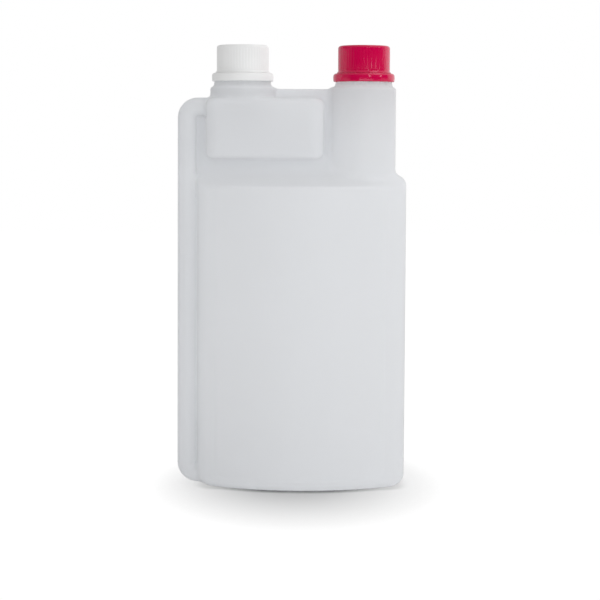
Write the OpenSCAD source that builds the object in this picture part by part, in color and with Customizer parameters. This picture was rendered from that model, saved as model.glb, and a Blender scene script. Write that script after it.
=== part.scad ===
// Twin-neck dosing bottle, blown in one piece, with two tamper-evident screw caps.
// Millimetres. The bottle stands on Z = 0, its width runs along X and its parting plane is Y = 0.
// Squeezing the body drives liquid up the riser tube into the dosing chamber under the left neck.

/* [Body] */
// Overall width, from the riser tube to the far side wall
overall_w = 120; // [114:1:130]
// Depth of the body at the middle of its bowed front and back
body_d = 68; // [62:1:74]
// How far the front and back walls bow out between the corners
body_bow = 10.5; // [6:0.5:13]
// Radius of the upright corners, seen from above
corner_r = 13; // [12:0.5:15]
// Height at which the rounded shoulder edge ends
shoulder_h = 164.1; // [130:1:200]
// Rise of the sloping shoulder above its edge
shoulder_rise = 3; // [1.6:0.2:6]
// Radius of the shoulder edge
shoulder_r = 5.4; // [4:0.2:7]
// Distance from the left wall to the start of the shoulder's ridge
ridge_left_run = 9; // [6:1:14]
// Distance from the right wall to the end of the shoulder's ridge
ridge_right_run = 16; // [12:1:22]
// Width of the shoulder's ridge, front to back
ridge_d = 3; // [2:0.5:5]
// Radius of the base edge
base_r = 7; // [5:0.5:8]
// Depth of the recess under the base
base_recess = 1.4; // [1:0.1:2]
// Width of the standing rim round that recess
base_rim = 4.5; // [3.5:0.5:5.5]
// Thickness of the blown wall
wall = 1.1; // [0.8:0.1:1.5]
// Thickness of the pinched web between the hollows
web_t = 2.2; // [1.6:0.1:3]

/* [Riser tube] */
// Width of the riser tube, seen from the front
tube_w = 9.5; // [8:0.5:10]
// Depth of the riser tube, front to back
tube_d = 18; // [14:1:22]
// Outer radius of the bends at the tube's two ends
bend_r = 10.6; // [10.4:0.2:14]
// Height of the tube's lowest point above the floor
tube_foot = 1.2; // [1:0.5:5]
// Width of the pinched seam between the tube and the body
seam_w = 1.3; // [0.8:0.1:2]
// How far the tube's top bend stands above the dosing chamber
tube_rise = 0.2; // [0.1:0.1:0.6]

/* [Dosing chamber] */
// Width of the dosing chamber
chamber_w = 61.3; // [56:0.5:64]
// Height of the dosing chamber
chamber_h = 31.6; // [26:0.5:40]
// Depth of the dosing chamber
chamber_d = 38; // [37:0.5:46]
// Radius of the chamber's top and bottom edges
chamber_r = 3.6; // [3:0.2:5]
// Radius of the chamber's upright corners, seen from above
chamber_corner = 6.5; // [5:0.5:9]
// Width of the web between the tube and the chamber
tube_gap = 5.7; // [3:0.5:8]
// Height of the web between the shoulder ridge and the chamber
chamber_gap = 5.2; // [3:0.2:8]

/* [Towers] */
// Outer diameter of the two towers that carry the necks
tower_d = 34; // [33.5:0.5:36]
// Distance from the far side wall to the axis of the main neck
main_inset = 22.4; // [20:0.2:24]
// Distance between the axes of the two necks
neck_pitch = 63.7; // [62:0.2:67]
// Height of the towers above the dosing chamber
tower_rise = 5.6; // [3:0.2:10]
// Depth of the web's top edge below the towers' tops
web_drop = 0.6; // [0.2:0.2:1.2]

/* [Neck finish] */
// Outer diameter of the plain neck below the ring
neck_base_d = 30; // [29.2:0.2:30.6]
// Height of the sloping step from tower to neck
tower_step = 1.4; // [1:0.1:2]
// Height of the ring's seat above the tower
seat_h = 3.2; // [2.8:0.1:5]
// Outer diameter of the groove that the ring's lip sits in
groove_d = 25.6; // [25:0.1:26]
// Height of that groove
groove_h = 1.7; // [1.5:0.1:2.2]
// Outer diameter of the bead that holds the ring down
bead_d = 27.4; // [27.2:0.1:27.6]
// Height of the bead's full-width land
bead_h = 0.8; // [0.6:0.1:1]
// Height of the cone above the bead
bead_cone_h = 1.4; // [1.2:0.1:1.5]
// Height of the neck above the ring's seat
neck_h = 16.6; // [16:0.1:20]
// Bore of both necks
bore_d = 18.8; // [17:0.1:19.4]
// Outer diameter of the neck between its thread ridges
root_d = 22.2; // [21.8:0.1:22.4]

/* [Thread] */
// Lead of the screw thread for one turn
thread_pitch = 3.2; // [3.1:0.1:3.6]
// Turns of thread
thread_turns = 1.75; // [1.25:0.25:2]
// Height of the thread ridge above the neck wall
thread_h = 0.9; // [0.6:0.05:0.95]
// Half the width of a thread ridge at its foot
ridge_foot = 1; // [0.8:0.05:1.02]
// Half the width of a thread ridge at its tip
ridge_tip = 0.45; // [0.3:0.05:0.5]
// Distance from the neck's lip down to the end of the thread
thread_drop = 2.6; // [2:0.1:3]

/* [Caps] */
// Outer diameter of the caps over their grip ribs
cap_d = 27.3; // [27:0.1:28]
// Height of the grip ribs above the cap's wall
rib_h = 0.2; // [0.1:0.05:0.45]
// Number of grip ribs round a cap
rib_n = 54; // [36:1:60]
// Radius of the cap's top edge
cap_edge_r = 1.4; // [1:0.1:2]
// Thickness of the cap's roof
roof_t = 1.3; // [1:0.1:2]
// Outer diameter of the flared foot of the cap
foot_d = 28.8; // [28.6:0.1:29.4]
// Height of the flared foot
foot_h = 1.2; // [1:0.1:2]
// Height of the smooth band below the ribs
band_h = 1; // [0.6:0.1:2]
// Thickness of the liner disc that seals on the neck's lip
liner_t = 1; // [0.8:0.1:1.4]

/* [Tamper rings] */
// Outer diameter of the tamper ring
ring_d = 32.5; // [32:0.1:33.5]
// Height of the tamper ring
ring_h = 4.1; // [3.8:0.1:4.4]
// Height of the lip inside the ring's lower edge
lip_h = 1.3; // [1:0.1:1.4]
// Chamfer on the ring's lower outer edge
ring_chamfer = 0.5; // [0.4:0.1:1.1]
// Chamfer on the ring's upper outer edge
ring_edge = 0.8; // [0.3:0.1:1.2]
// Number of torn bridges left on the ring's upper edge
bridge_n = 12; // [8:1:16]
// Width of one torn bridge
bridge_w = 1; // [0.6:0.1:1.4]

/* [Clearances] */
// Radial play between the cap's thread and the neck's
thread_play = 0.25; // [0.2:0.05:0.3]
// Radial play of the liner in its cap
liner_play = 0.25; // [0.15:0.05:0.3]
// Radial play of the tamper ring round bead and groove
ring_play = 0.3; // [0.2:0.05:0.35]
// Gap between the tamper ring and the cap's foot
tear_gap = 0.3; // [0.25:0.05:0.5]
// Gap between a torn bridge and the cap's foot
bridge_gap = 0.1; // [0.08:0.01:0.15]

/* [Hidden] */

$fn = 96;
eps = 0.01;
overlap = 2;
slice = 0.02;
edge_steps = 4;
corner_steps = 6;
bow_steps = 10;
helix_steps = 36;
fade_turns = 0.1;
fade_least = 0.2;
ridge_sink = 0.2;
rib_foot_share = 0.28;
rib_tip_share = 0.14;
lip_chamfer = 0.4;
lip_step_h = 0.3;

// Places across the bottle
tube_x = -overall_w / 2 + tube_w / 2;
body_left = -overall_w / 2 + tube_w + seam_w;
body_right = overall_w / 2;
body_x = (body_left + body_right) / 2;
body_half = (body_right - body_left) / 2;
chamber_left = -overall_w / 2 + tube_w + tube_gap;
chamber_x = chamber_left + chamber_w / 2;
main_x = overall_w / 2 - main_inset;
dosing_x = main_x - neck_pitch;

// Heights
ridge_z = shoulder_h + shoulder_rise;
chamber_z = ridge_z + chamber_gap;
chamber_top = chamber_z + chamber_h;
tube_top = chamber_top + tube_rise;
tower_top = chamber_top + tower_rise;
seat_z = tower_top + seat_h;
lip_z = seat_z + neck_h;
foot_z = seat_z + ring_h + tear_gap;
thread_z = lip_z - thread_drop - thread_turns * thread_pitch;

// Radii of the neck finish and of what fits on it
root_r = root_d / 2;
tip_r = root_r + thread_h;
cap_bore_r = tip_r + thread_play;
cap_tip_r = root_r + thread_play;
liner_r = cap_bore_r - liner_play;

// The front and back walls lie on circles that touch the corner rounds
corner_x = body_half - corner_r;
bow_r = (corner_x * corner_x + body_bow * body_bow) / (2 * body_bow);
bow_y = body_d / 2 - bow_r;
corner_y = bow_y + sqrt(pow(bow_r - corner_r, 2) - corner_x * corner_x);
corner_a = 90 - asin(corner_x / (bow_r - corner_r));

// Points along an arc, both ends included
function arc(x, y, r, a0, a1, n) =
    [for (i = [0:n]) let (a = a0 + (a1 - a0) * i / n) [x + r * cos(a), y + r * sin(a)]];

// Outline of the body seen from above, drawn in by inset; each bow's end points belong to the corners
function body_plan(inset) =
    let (r = corner_r - inset, b = bow_r - inset, c = corner_a, s = (180 - 2 * c) / bow_steps)
    concat(
        arc(corner_x, corner_y, r, 0, c, corner_steps),
        arc(0, bow_y, b, c + s, 180 - c - s, bow_steps - 2),
        arc(-corner_x, corner_y, r, 180 - c, 180, corner_steps),
        arc(-corner_x, -corner_y, r, 180, 180 + c, corner_steps),
        arc(0, -bow_y, b, 180 + c + s, 360 - c - s, bow_steps - 2),
        arc(corner_x, -corner_y, r, 360 - c, 360, corner_steps)
    );

// Rounded rectangle about the origin
function round_rect(w, h, r) =
    let (x = w / 2 - r, y = h / 2 - r)
    concat(
        arc(x, y, r, 0, 90, corner_steps),
        arc(-x, y, r, 90, 180, corner_steps),
        arc(-x, -y, r, 180, 270, corner_steps),
        arc(x, -y, r, 270, 360, corner_steps)
    );

module body_slice(z, h, inset) {
    translate([body_x, 0, z])
        linear_extrude(h)
            polygon(body_plan(inset));
}

// Closed form of the body: inset 0 is its outside, inset wall its hollow
module body_form(inset, floor_z) {
    low_r = base_r - inset;
    high_r = shoulder_r - inset;
    top_z = shoulder_h - inset;
    hull() {
        body_slice(floor_z + low_r, top_z - high_r - floor_z - low_r, inset);
        for (i = [0:edge_steps - 1]) {
            a = 90 * i / edge_steps;
            body_slice(floor_z + low_r * (1 - cos(a)), slice, inset + low_r * (1 - sin(a)));
            body_slice(top_z - slice - high_r * (1 - cos(a)), slice, inset + high_r * (1 - sin(a)));
        }
        translate([body_left + ridge_left_run, -ridge_d / 2, ridge_z - inset - slice])
            cube([2 * body_half - ridge_left_run - ridge_right_run, ridge_d, slice]);
    }
}

module chamber_slice(z, h, inset) {
    translate([chamber_x, 0, z])
        linear_extrude(h)
            polygon(round_rect(chamber_w - 2 * inset, chamber_d - 2 * inset, chamber_corner - inset));
}

// Closed form of the dosing chamber: inset 0 is its outside, inset wall its hollow
module chamber_form(inset) {
    r = chamber_r - inset;
    hull() {
        chamber_slice(chamber_z + chamber_r, chamber_h - 2 * chamber_r, inset);
        for (i = [0:edge_steps - 1]) {
            a = 90 * i / edge_steps;
            rise = inset + r * (1 - cos(a));
            chamber_slice(chamber_z + rise, slice, inset + r * (1 - sin(a)));
            chamber_slice(chamber_top - slice - rise, slice, inset + r * (1 - sin(a)));
        }
    }
}

// Section of the riser tube, its width along X
module tube_section(inset) {
    r = tube_w / 2 - inset;
    y = tube_d / 2 - tube_w / 2;
    translate([0, y])
        circle(r);
    translate([0, -y])
        circle(r);
    translate([-r, -y])
        square([2 * r, 2 * y]);
}

// One bend of the tube and the leg that leads from it towards +X
module tube_end(inset, leg) {
    turn_r = bend_r - tube_w / 2;
    rotate([90, 0, 0])
        rotate_extrude(angle = 90)
            translate([turn_r, 0])
                tube_section(inset);
    translate([0, 0, turn_r])
        rotate([0, -90, 0])
            translate([0, 0, -eps])
                linear_extrude(leg + eps)
                    tube_section(inset);
}

// The tube rises along the bottle's side and turns into the body below and the chamber above
module riser_form(inset) {
    bend_x = -overall_w / 2 + bend_r;
    low_z = tube_foot + bend_r;
    high_z = tube_top - bend_r;
    low_leg = body_left + base_r + wall - bend_x;
    high_leg = chamber_left + chamber_r + wall - bend_x;
    translate([tube_x, 0, low_z - eps])
        linear_extrude(high_z - low_z + 2 * eps)
            tube_section(inset);
    translate([bend_x, 0, high_z])
        mirror([1, 0, 0])
            tube_end(inset, high_leg);
    translate([bend_x, 0, low_z])
        mirror([0, 0, 1])
            mirror([1, 0, 0])
                tube_end(inset, low_leg);
}

// The flat web where both mould halves pinch the wall together
module web() {
    low_z = tube_foot + tube_w / 2;
    high_z = tube_top - tube_w / 2;
    translate([tube_x, -web_t / 2, low_z])
        cube([dosing_x - tube_x, web_t, high_z - low_z]);
    translate([dosing_x, -web_t / 2, shoulder_h - overlap])
        cube([neck_pitch, web_t, tower_top - web_drop - shoulder_h + overlap]);
}

// Raised screw thread along one helix; a tip inside the foot makes an inward thread
module thread_ridge(foot_r, tip_r) {
    steps = round(thread_turns * helix_steps);
    inward = tip_r < foot_r;
    up = inward ? -1 : 1;
    points = [
        for (i = [0:steps])
            let (
                turn = i / helix_steps,
                rise = min(1, fade_least + min(turn, thread_turns - turn) / fade_turns),
                r = foot_r + (tip_r - foot_r) * rise,
                z = turn * thread_pitch,
                a = turn * 360
            )
            each [
                [foot_r * cos(a), foot_r * sin(a), z - up * ridge_foot],
                [r * cos(a), r * sin(a), z - up * ridge_tip],
                [r * cos(a), r * sin(a), z + up * ridge_tip],
                [foot_r * cos(a), foot_r * sin(a), z + up * ridge_foot]
            ]
    ];
    faces = concat(
        [[3, 2, 1, 0]],
        [
            for (i = [0:steps - 1], k = [0:3])
                let (a = 4 * i + k, b = 4 * i + (k + 1) % 4)
                each [[a, b, a + 4], [b, b + 4, a + 4]]
        ],
        [[for (k = [0:3]) 4 * steps + k]]
    );
    polyhedron(points, faces);
}

// Outside of a tower and its neck, from depth below the tower's top
module neck_form(depth) {
    tower_r = tower_d / 2;
    base_r = neck_base_d / 2;
    groove_z = seat_h + groove_h;
    top_z = seat_h + neck_h;
    rotate_extrude()
        polygon([
            [0, -depth],
            [tower_r, -depth],
            [tower_r, -tower_step / 2],
            [tower_r - tower_step / 4, 0],
            [base_r + tower_step / 3, tower_step * 2 / 3],
            [base_r, tower_step],
            [base_r, seat_h],
            [groove_d / 2, seat_h],
            [groove_d / 2, groove_z],
            [bead_d / 2, groove_z],
            [bead_d / 2, groove_z + bead_h],
            [root_r, groove_z + bead_h + bead_cone_h],
            [root_r, top_z - lip_chamfer],
            [root_r - lip_chamfer, top_z],
            [0, top_z]
        ]);
    translate([0, 0, thread_z - tower_top])
        thread_ridge(root_r - ridge_sink, tip_r);
}

// Hollow of a tower and the bore of its neck
module neck_hollow(depth) {
    tower_r = tower_d / 2 - wall;
    rotate_extrude()
        polygon([
            [0, -depth],
            [tower_r, -depth],
            [tower_r, -tower_step / 2 - wall],
            [bore_d / 2, seat_h - wall],
            [bore_d / 2, seat_h + neck_h + overlap],
            [0, seat_h + neck_h + overlap]
        ]);
}

module bottle() {
    main_depth = tower_top - shoulder_h + shoulder_r;
    dosing_depth = tower_rise + chamber_h / 2;
    recess_inset = base_r + base_rim;
    color([0.86, 0.88, 0.9, 0.75])
        difference() {
            union() {
                body_form(0, 0);
                chamber_form(0);
                riser_form(0);
                web();
                translate([main_x, 0, tower_top])
                    neck_form(main_depth);
                translate([dosing_x, 0, tower_top])
                    neck_form(dosing_depth);
            }
            body_form(wall, base_recess + wall);
            chamber_form(wall);
            riser_form(wall);
            translate([main_x, 0, tower_top])
                neck_hollow(main_depth + wall);
            translate([dosing_x, 0, tower_top])
                neck_hollow(dosing_depth);
            translate([body_x, 0, -overlap])
                linear_extrude(overlap + base_recess)
                    polygon(body_plan(recess_inset));
        }
}

// Ribbed outline of the cap's grip
module grip_section() {
    tip = cap_d / 2;
    root = tip - rib_h;
    step = 360 / rib_n;
    foot_a = rib_foot_share * step;
    tip_a = rib_tip_share * step;
    polygon([
        for (i = [0:rib_n - 1])
            let (a = i * step)
            each [
                root * [cos(a - foot_a), sin(a - foot_a)],
                tip * [cos(a - tip_a), sin(a - tip_a)],
                tip * [cos(a + tip_a), sin(a + tip_a)],
                root * [cos(a + foot_a), sin(a + foot_a)]
            ]
    ]);
}

// Screw cap, its foot at Z = 0
module cap() {
    tip = cap_d / 2;
    roof_z = lip_z + liner_t - foot_z;
    cap_h = roof_z + roof_t;
    band_z = foot_h + band_h;
    difference() {
        union() {
            intersection() {
                translate([0, 0, band_z])
                    linear_extrude(cap_h - band_z)
                        grip_section();
                rotate_extrude()
                    polygon(concat(
                        [[0, 0], [tip, 0]],
                        arc(tip - cap_edge_r, cap_h - cap_edge_r, cap_edge_r, 0, 90, edge_steps),
                        [[0, cap_h]]
                    ));
            }
            rotate_extrude()
                polygon([
                    [0, 0],
                    [foot_d / 2, 0],
                    [foot_d / 2, foot_h / 3],
                    [tip, foot_h],
                    [tip, band_z],
                    [tip - rib_h, band_z + rib_h],
                    [0, band_z + rib_h]
                ]);
        }
        rotate_extrude()
            polygon([
                [0, -overlap],
                [cap_bore_r + lip_chamfer, -overlap],
                [cap_bore_r + lip_chamfer, 0],
                [cap_bore_r, lip_chamfer],
                [cap_bore_r, roof_z],
                [0, roof_z]
            ]);
    }
    translate([0, 0, thread_z - thread_pitch / 2 - foot_z])
        thread_ridge(cap_bore_r + ridge_sink, cap_tip_r);
}

// Disc that seals between the neck's lip and the cap's roof
module liner() {
    cylinder(r = liner_r, h = liner_t);
}

// Ring torn off the cap's foot, trapped under the neck's bead
module tamper_ring() {
    outer_r = ring_d / 2;
    inner_r = bead_d / 2 + ring_play;
    lip_r = groove_d / 2 + ring_play;
    rotate_extrude()
        polygon([
            [lip_r, 0],
            [outer_r - ring_chamfer, 0],
            [outer_r, ring_chamfer],
            [outer_r, ring_h - ring_edge],
            [outer_r - ring_edge, ring_h],
            [inner_r, ring_h],
            [inner_r, lip_h + lip_step_h],
            [lip_r, lip_h]
        ]);
    for (i = [0:bridge_n - 1])
        rotate([0, 0, i * 360 / bridge_n])
            translate([inner_r, -bridge_w / 2, ring_h - tear_gap])
                cube([foot_d / 2 - inner_r, bridge_w, 2 * tear_gap - bridge_gap]);
}

module dosing_cap() {
    color([0.93, 0.93, 0.93])
        translate([dosing_x, 0, foot_z])
            cap();
}

module dosing_cap_liner() {
    color([0.9, 0.9, 0.88])
        translate([dosing_x, 0, lip_z])
            liner();
}

module dosing_tamper_ring() {
    color([0.92, 0.92, 0.92])
        translate([dosing_x, 0, seat_z])
            tamper_ring();
}

module main_cap() {
    color([0.75, 0.02, 0.22])
        translate([main_x, 0, foot_z])
            cap();
}

module main_cap_liner() {
    color([0.9, 0.9, 0.88])
        translate([main_x, 0, lip_z])
            liner();
}

module main_tamper_ring() {
    color([0.72, 0.02, 0.2])
        translate([main_x, 0, seat_z])
            tamper_ring();
}

bottle();
dosing_cap();
dosing_cap_liner();
dosing_tamper_ring();
main_cap();
main_cap_liner();
main_tamper_ring();
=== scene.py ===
import math

import bmesh
import bpy
import numpy as np
from mathutils import Matrix, Vector


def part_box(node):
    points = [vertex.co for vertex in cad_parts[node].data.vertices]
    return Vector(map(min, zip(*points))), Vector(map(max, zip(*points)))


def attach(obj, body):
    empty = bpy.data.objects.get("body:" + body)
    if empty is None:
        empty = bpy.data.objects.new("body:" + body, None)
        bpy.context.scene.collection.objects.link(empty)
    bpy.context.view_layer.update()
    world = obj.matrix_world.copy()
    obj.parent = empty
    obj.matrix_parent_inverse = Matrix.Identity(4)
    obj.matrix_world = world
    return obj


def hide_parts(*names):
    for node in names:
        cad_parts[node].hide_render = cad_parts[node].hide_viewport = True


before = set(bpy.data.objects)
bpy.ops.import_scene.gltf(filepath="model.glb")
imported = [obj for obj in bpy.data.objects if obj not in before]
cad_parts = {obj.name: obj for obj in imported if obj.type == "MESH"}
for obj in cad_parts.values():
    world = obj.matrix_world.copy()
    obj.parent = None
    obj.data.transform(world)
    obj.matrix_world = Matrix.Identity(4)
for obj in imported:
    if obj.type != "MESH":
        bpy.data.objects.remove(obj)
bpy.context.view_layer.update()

# Sizes are in millimetres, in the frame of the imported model
MM = 0.001


def box_mm(node):
    low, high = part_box(node)
    return np.array(low) / MM, np.array(high) / MM


bottle_low, bottle_high = box_mm("bottle")
ring_low, ring_high = box_mm("main_tamper_ring")
cap_low, cap_high = box_mm("main_cap")
liner_low, liner_high = box_mm("main_cap_liner")
dosing_low, dosing_high = box_mm("dosing_cap")

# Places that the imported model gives
MAIN_X = (cap_low[0] + cap_high[0]) / 2
DOSING_X = (dosing_low[0] + dosing_high[0]) / 2
SEAT_Z = ring_low[2]
FOOT_Z = cap_low[2]
LIP_Z = liner_low[2]
ROOF_Z = liner_high[2]
CAP_TOP_Z = cap_high[2]
FOOT_R = (cap_high[0] - cap_low[0]) / 2
RING_R = (ring_high[0] - ring_low[0]) / 2
LEFT_X = bottle_low[0]
RIGHT_X = bottle_high[0]
BODY_D = bottle_high[1] - bottle_low[1]

# Body: the shoulder rises towards its middle, and slopes down to an edge at the front and back
WALL = 1.1
SEAM_W = 1.3
BODY_BOW = 10.5
CORNER_R = 13.0
SHOULDER_H = 164.1
SHOULDER_RISE = 3.0
RISE_START = 5.4
RISE_RUN = 26.0
FRONT_TOP = 158.0
FRONT_RISE = 9.8
FRONT_EDGE = 1.6
SHOULDER_R = 5.4
BASE_R = 7.0
BASE_RIM = 4.5
BASE_RECESS = 1.4
RECESS_R = 1.2

# Pinched webs, and how far they run into the pieces that they join
WEB_T = 2.2
WEB_DROP = 0.6
WEB_START = 4.0
WEB_SINK = 6.0
WEB_EDGE = 0.3
MID_WEB_EDGE = 0.5

# Width of the sweep at each join
WEB_SWEEP = 12.0
SEAM_SWEEP = 3.0
TUBE_SWEEP = 1.0
MID_WEB_SWEEP = 1.5
CHAMBER_SWEEP = 2.0
DOSING_TOWER_SWEEP = 2.0
MAIN_TOWER_SWEEP = 3.0
COLLAR_SWEEP = 1.0
HOLLOW_TOWER_SWEEP = 2.0
BORE_SWEEP = 1.0

# Label panel, a little proud of the wall round it
PANEL_LEFT = -39.0
PANEL_RIGHT = 48.5
PANEL_LOW = 5.0
PANEL_HIGH = 175.0
PANEL_R = 5.0
PANEL_H = 0.35
PANEL_BEVEL = 1.8

# Riser tube
TUBE_W = 9.5
TUBE_D = 18.0
BEND_R = 10.6
TUBE_FOOT = 1.2
TUBE_RISE = 0.2

# Dosing chamber
TUBE_GAP = 5.7
CHAMBER_W = 61.3
CHAMBER_H = 31.6
CHAMBER_D = 38.0
CHAMBER_R = 3.6
CHAMBER_CORNER = 6.5

# Towers and necks
TOWER_R = 17.0
TOWER_RISE = 5.6
TOWER_STEP = 1.4
TOWER_EDGE = 0.7
TOWER_DROP = 0.5
SEAT_RISE = 3.2
NECK_R = 15.0
NECK_DROP = 0.4
NECK_SINK = 2.0
COLLAR_R = 14.8
COLLAR_LOW = 3.0
COLLAR_FILLET = 0.2
GROOVE_R = 12.8
GROOVE_H = 1.7
BEAD_R = 13.7
BEAD_H = 0.8
BEAD_CONE_H = 1.4
BEAD_LOW_FILLET = 0.1
BEAD_TOP_FILLET = 0.3
CONE_FILLET = 0.6
BORE_R = 9.4
BORE_SINK = 6.0
ROOT_R = 11.1
LIP_CHAMFER = 0.4
NECK_SEGMENTS = 120

# Thread
PITCH = 3.2
TURNS = 1.75
THREAD_H = 0.9
THREAD_PLAY = 0.25
THREAD_DROP = 2.6
RIDGE_FOOT = 1.0
RIDGE_TIP = 0.45
RIDGE_BEVEL = 0.1
RIDGE_FLANK = 0.85
RIDGE_SINK = 0.3
FADE_TURNS = 0.1
FADE_LEAST = 0.15
HELIX_STEPS = 60

# Caps and rings
CAP_R = 13.65
RIB_H = 0.07
RIB_N = 54
RIB_SAMPLES = 10
RIB_SWING = 0.8
CAP_EDGE_R = 1.4
CAP_FOOT_H = 1.2
CAP_LIP_H = 0.24
CAP_ROOF_FILLET = 0.2
CAP_RIM_FILLET = 0.1
CAP_FOOT_FILLET = 0.15
CAP_FLARE_FILLET = 0.5
CAP_EDGE_GAP = 0.01
CAP_ARC_STEPS = 7
BAND_H = 1.0
RING_PLAY = 0.3
RING_LIP_H = 1.3
RING_LIP_SLOPE = 0.3
RING_CHAMFER = 0.5
RING_EDGE = 0.8
RING_CROWN = 0.12
RING_GAP = 0.08
RING_LIP_FILLET = 0.15
RING_LOW_FILLET = 0.2
RING_SIDE_FILLET = 2.0
RING_TOP_FILLET = 0.5
RING_EDGE_FILLET = 0.3
RING_INNER_FILLET = 0.1
RING_SEGMENTS = 240
BRIDGE_N = 12
BRIDGE_W = 1.0
BRIDGE_H = 0.05
BRIDGE_SINK = 0.4
BRIDGE_DRAFT = 0.05

# Grid steps of the blown shell: fine at its details, coarse along its straight walls
STEP = 0.85
LONG_STEP = 4.0
MARGIN = 3.0
FINE_LOW_TOP = 15.0
FINE_HIGH_LOW = 151.0

# Edges sharper than this stay crisp
SHARP_DEG = 40

# Derived places
TUBE_X = LEFT_X + TUBE_W / 2
BODY_LEFT = LEFT_X + TUBE_W + SEAM_W
BODY_X = (BODY_LEFT + RIGHT_X) / 2
BODY_HALF = (RIGHT_X - BODY_LEFT) / 2
CHAMBER_LEFT = LEFT_X + TUBE_W + TUBE_GAP
CHAMBER_X = CHAMBER_LEFT + CHAMBER_W / 2
TOWER_TOP = SEAT_Z - SEAT_RISE
CHAMBER_TOP = TOWER_TOP - TOWER_RISE
CHAMBER_LOW = CHAMBER_TOP - CHAMBER_H
TUBE_TOP = CHAMBER_TOP + TUBE_RISE
BODY_MID = SHOULDER_H / 2
CAP_BORE_R = ROOT_R + THREAD_H + THREAD_PLAY
THREAD_Z = LIP_Z - THREAD_DROP - TURNS * PITCH

# The front and back walls lie on circles that touch the corner rounds
CORNER_X = BODY_HALF - CORNER_R
BOW_R = (CORNER_X ** 2 + BODY_BOW ** 2) / (2 * BODY_BOW)
BOW_Y = BODY_D / 2 - BOW_R
CORNER_Y = BOW_Y + math.sqrt((BOW_R - CORNER_R) ** 2 - CORNER_X ** 2)
CORNER_COS = CORNER_X / (BOW_R - CORNER_R)
CORNER_SIN = math.sqrt(1 - CORNER_COS ** 2)


# Distance fields: each is negative inside its form

def smooth_union(a, b, k):
    """Joins two forms with a sweep about k wide."""
    h = np.maximum(k - np.abs(a - b), 0) / k
    return np.minimum(a, b) - h * h * k / 4


def smooth_cut(a, b, k):
    return -smooth_union(-a, -b, k)


def rounded_rect(u, v, half_u, half_v, r):
    """Distance to a rectangle with round corners."""
    a = np.abs(u) - half_u + r
    b = np.abs(v) - half_v + r
    return np.hypot(np.maximum(a, 0), np.maximum(b, 0)) + np.minimum(np.maximum(a, b), 0) - r


def rounded_edge(side, end, r):
    """Where a wall and an end plane meet in an edge round of radius r."""
    a = side + r
    b = end + r
    return np.hypot(np.maximum(a, 0), np.maximum(b, 0)) + np.minimum(np.maximum(a, b), 0) - r


def body_plan(x, y):
    """Distance to the body's outline, seen from above."""
    x = np.abs(x - BODY_X)
    y = np.abs(y)
    bow = np.hypot(x, y - BOW_Y) - (BOW_R - CORNER_R)
    dx = x - CORNER_X
    dy = y - CORNER_Y
    at_corner = (dy >= 0) & (CORNER_COS * dy - CORNER_SIN * dx <= 0) & (dx >= 0)
    return np.where(at_corner, np.hypot(dx, dy), np.maximum(bow, dx)) - CORNER_R


def body_form(x, y, z, inset, floor_z):
    """The body from floor_z up, drawn in by inset."""
    plan = body_plan(x, y)
    rise = SHOULDER_RISE * np.clip((-plan - RISE_START) / RISE_RUN, 0, 1)
    low = rounded_edge(plan + inset, floor_z - z, BASE_R - inset)
    high = rounded_edge(plan + inset, z - SHOULDER_H + inset - rise, SHOULDER_R - inset)
    behind = BOW_R - np.hypot(x - BODY_X, np.abs(y) - BOW_Y)
    most = np.maximum(BOW_R - np.hypot(x - BODY_X, BOW_Y), CORNER_R)
    high = smooth_cut(high, z - FRONT_TOP - FRONT_RISE * behind / most + inset, FRONT_EDGE)
    return np.where(z > BODY_MID, high, low)


def chamber_form(x, y, z, inset):
    """The dosing chamber, drawn in by inset."""
    r = CHAMBER_CORNER - inset
    plan = rounded_rect(x - CHAMBER_X, y, CHAMBER_W / 2 - inset, CHAMBER_D / 2 - inset, r)
    mid = (CHAMBER_LOW + CHAMBER_TOP) / 2
    return rounded_edge(plan, np.abs(z - mid) - CHAMBER_H / 2 + inset, CHAMBER_R - inset)


def tube_form(x, y, z, inset, reach):
    """The riser tube follows the left half of a rounded frame that lies in the parting plane."""
    half_w = TUBE_W / 2
    low = TUBE_FOOT + half_w
    high = TUBE_TOP - half_w
    path = rounded_rect(
        x - (TUBE_X + RIGHT_X) / 2, z - (low + high) / 2,
        (RIGHT_X - TUBE_X) / 2, (high - low) / 2, BEND_R - half_w,
    )
    deep = np.maximum(np.abs(y) - (TUBE_D / 2 - half_w), 0)
    section = np.hypot(path, deep) - half_w + inset
    end_x = np.where(z > BODY_MID, CHAMBER_LEFT, BODY_LEFT) + reach
    return np.maximum(section, x - end_x)


def tower_form(x, y, z, axis_x, inset, low_z):
    """A tower with its sloping step, down to low_z and up to just under the neck's seat."""
    r = np.hypot(x - axis_x, y)
    slope_r = TOWER_STEP * 2 / 3
    slope_z = TOWER_R - TOWER_STEP / 4 - NECK_R
    cone = (r - TOWER_R + TOWER_STEP / 4) * slope_r + (z - TOWER_TOP) * slope_z
    cone = cone / math.hypot(slope_r, slope_z)
    side = r - TOWER_R + inset
    ends = np.maximum(low_z - z, z - SEAT_Z + TOWER_DROP + inset)
    return np.maximum(smooth_cut(side, cone + inset, TOWER_EDGE), ends)


def slab(x, y, z, x0, x1, z0, z1, edge):
    """A flat web in the parting plane."""
    flat = rounded_rect(x - (x0 + x1) / 2, z - (z0 + z1) / 2, (x1 - x0) / 2, (z1 - z0) / 2, edge)
    return rounded_edge(flat, np.abs(y) - WEB_T / 2, edge)


def panel_step(x, z):
    """How far the wall lies back at a place: nothing on the label panels, PANEL_H away from them."""
    edge = rounded_rect(
        x - (PANEL_LEFT + PANEL_RIGHT) / 2, z - (PANEL_LOW + PANEL_HIGH) / 2,
        (PANEL_RIGHT - PANEL_LEFT) / 2, (PANEL_HIGH - PANEL_LOW) / 2, PANEL_R,
    )
    share = np.clip(edge / PANEL_BEVEL + 0.5, 0, 1)
    return PANEL_H * share * share * (3 - 2 * share)


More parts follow.
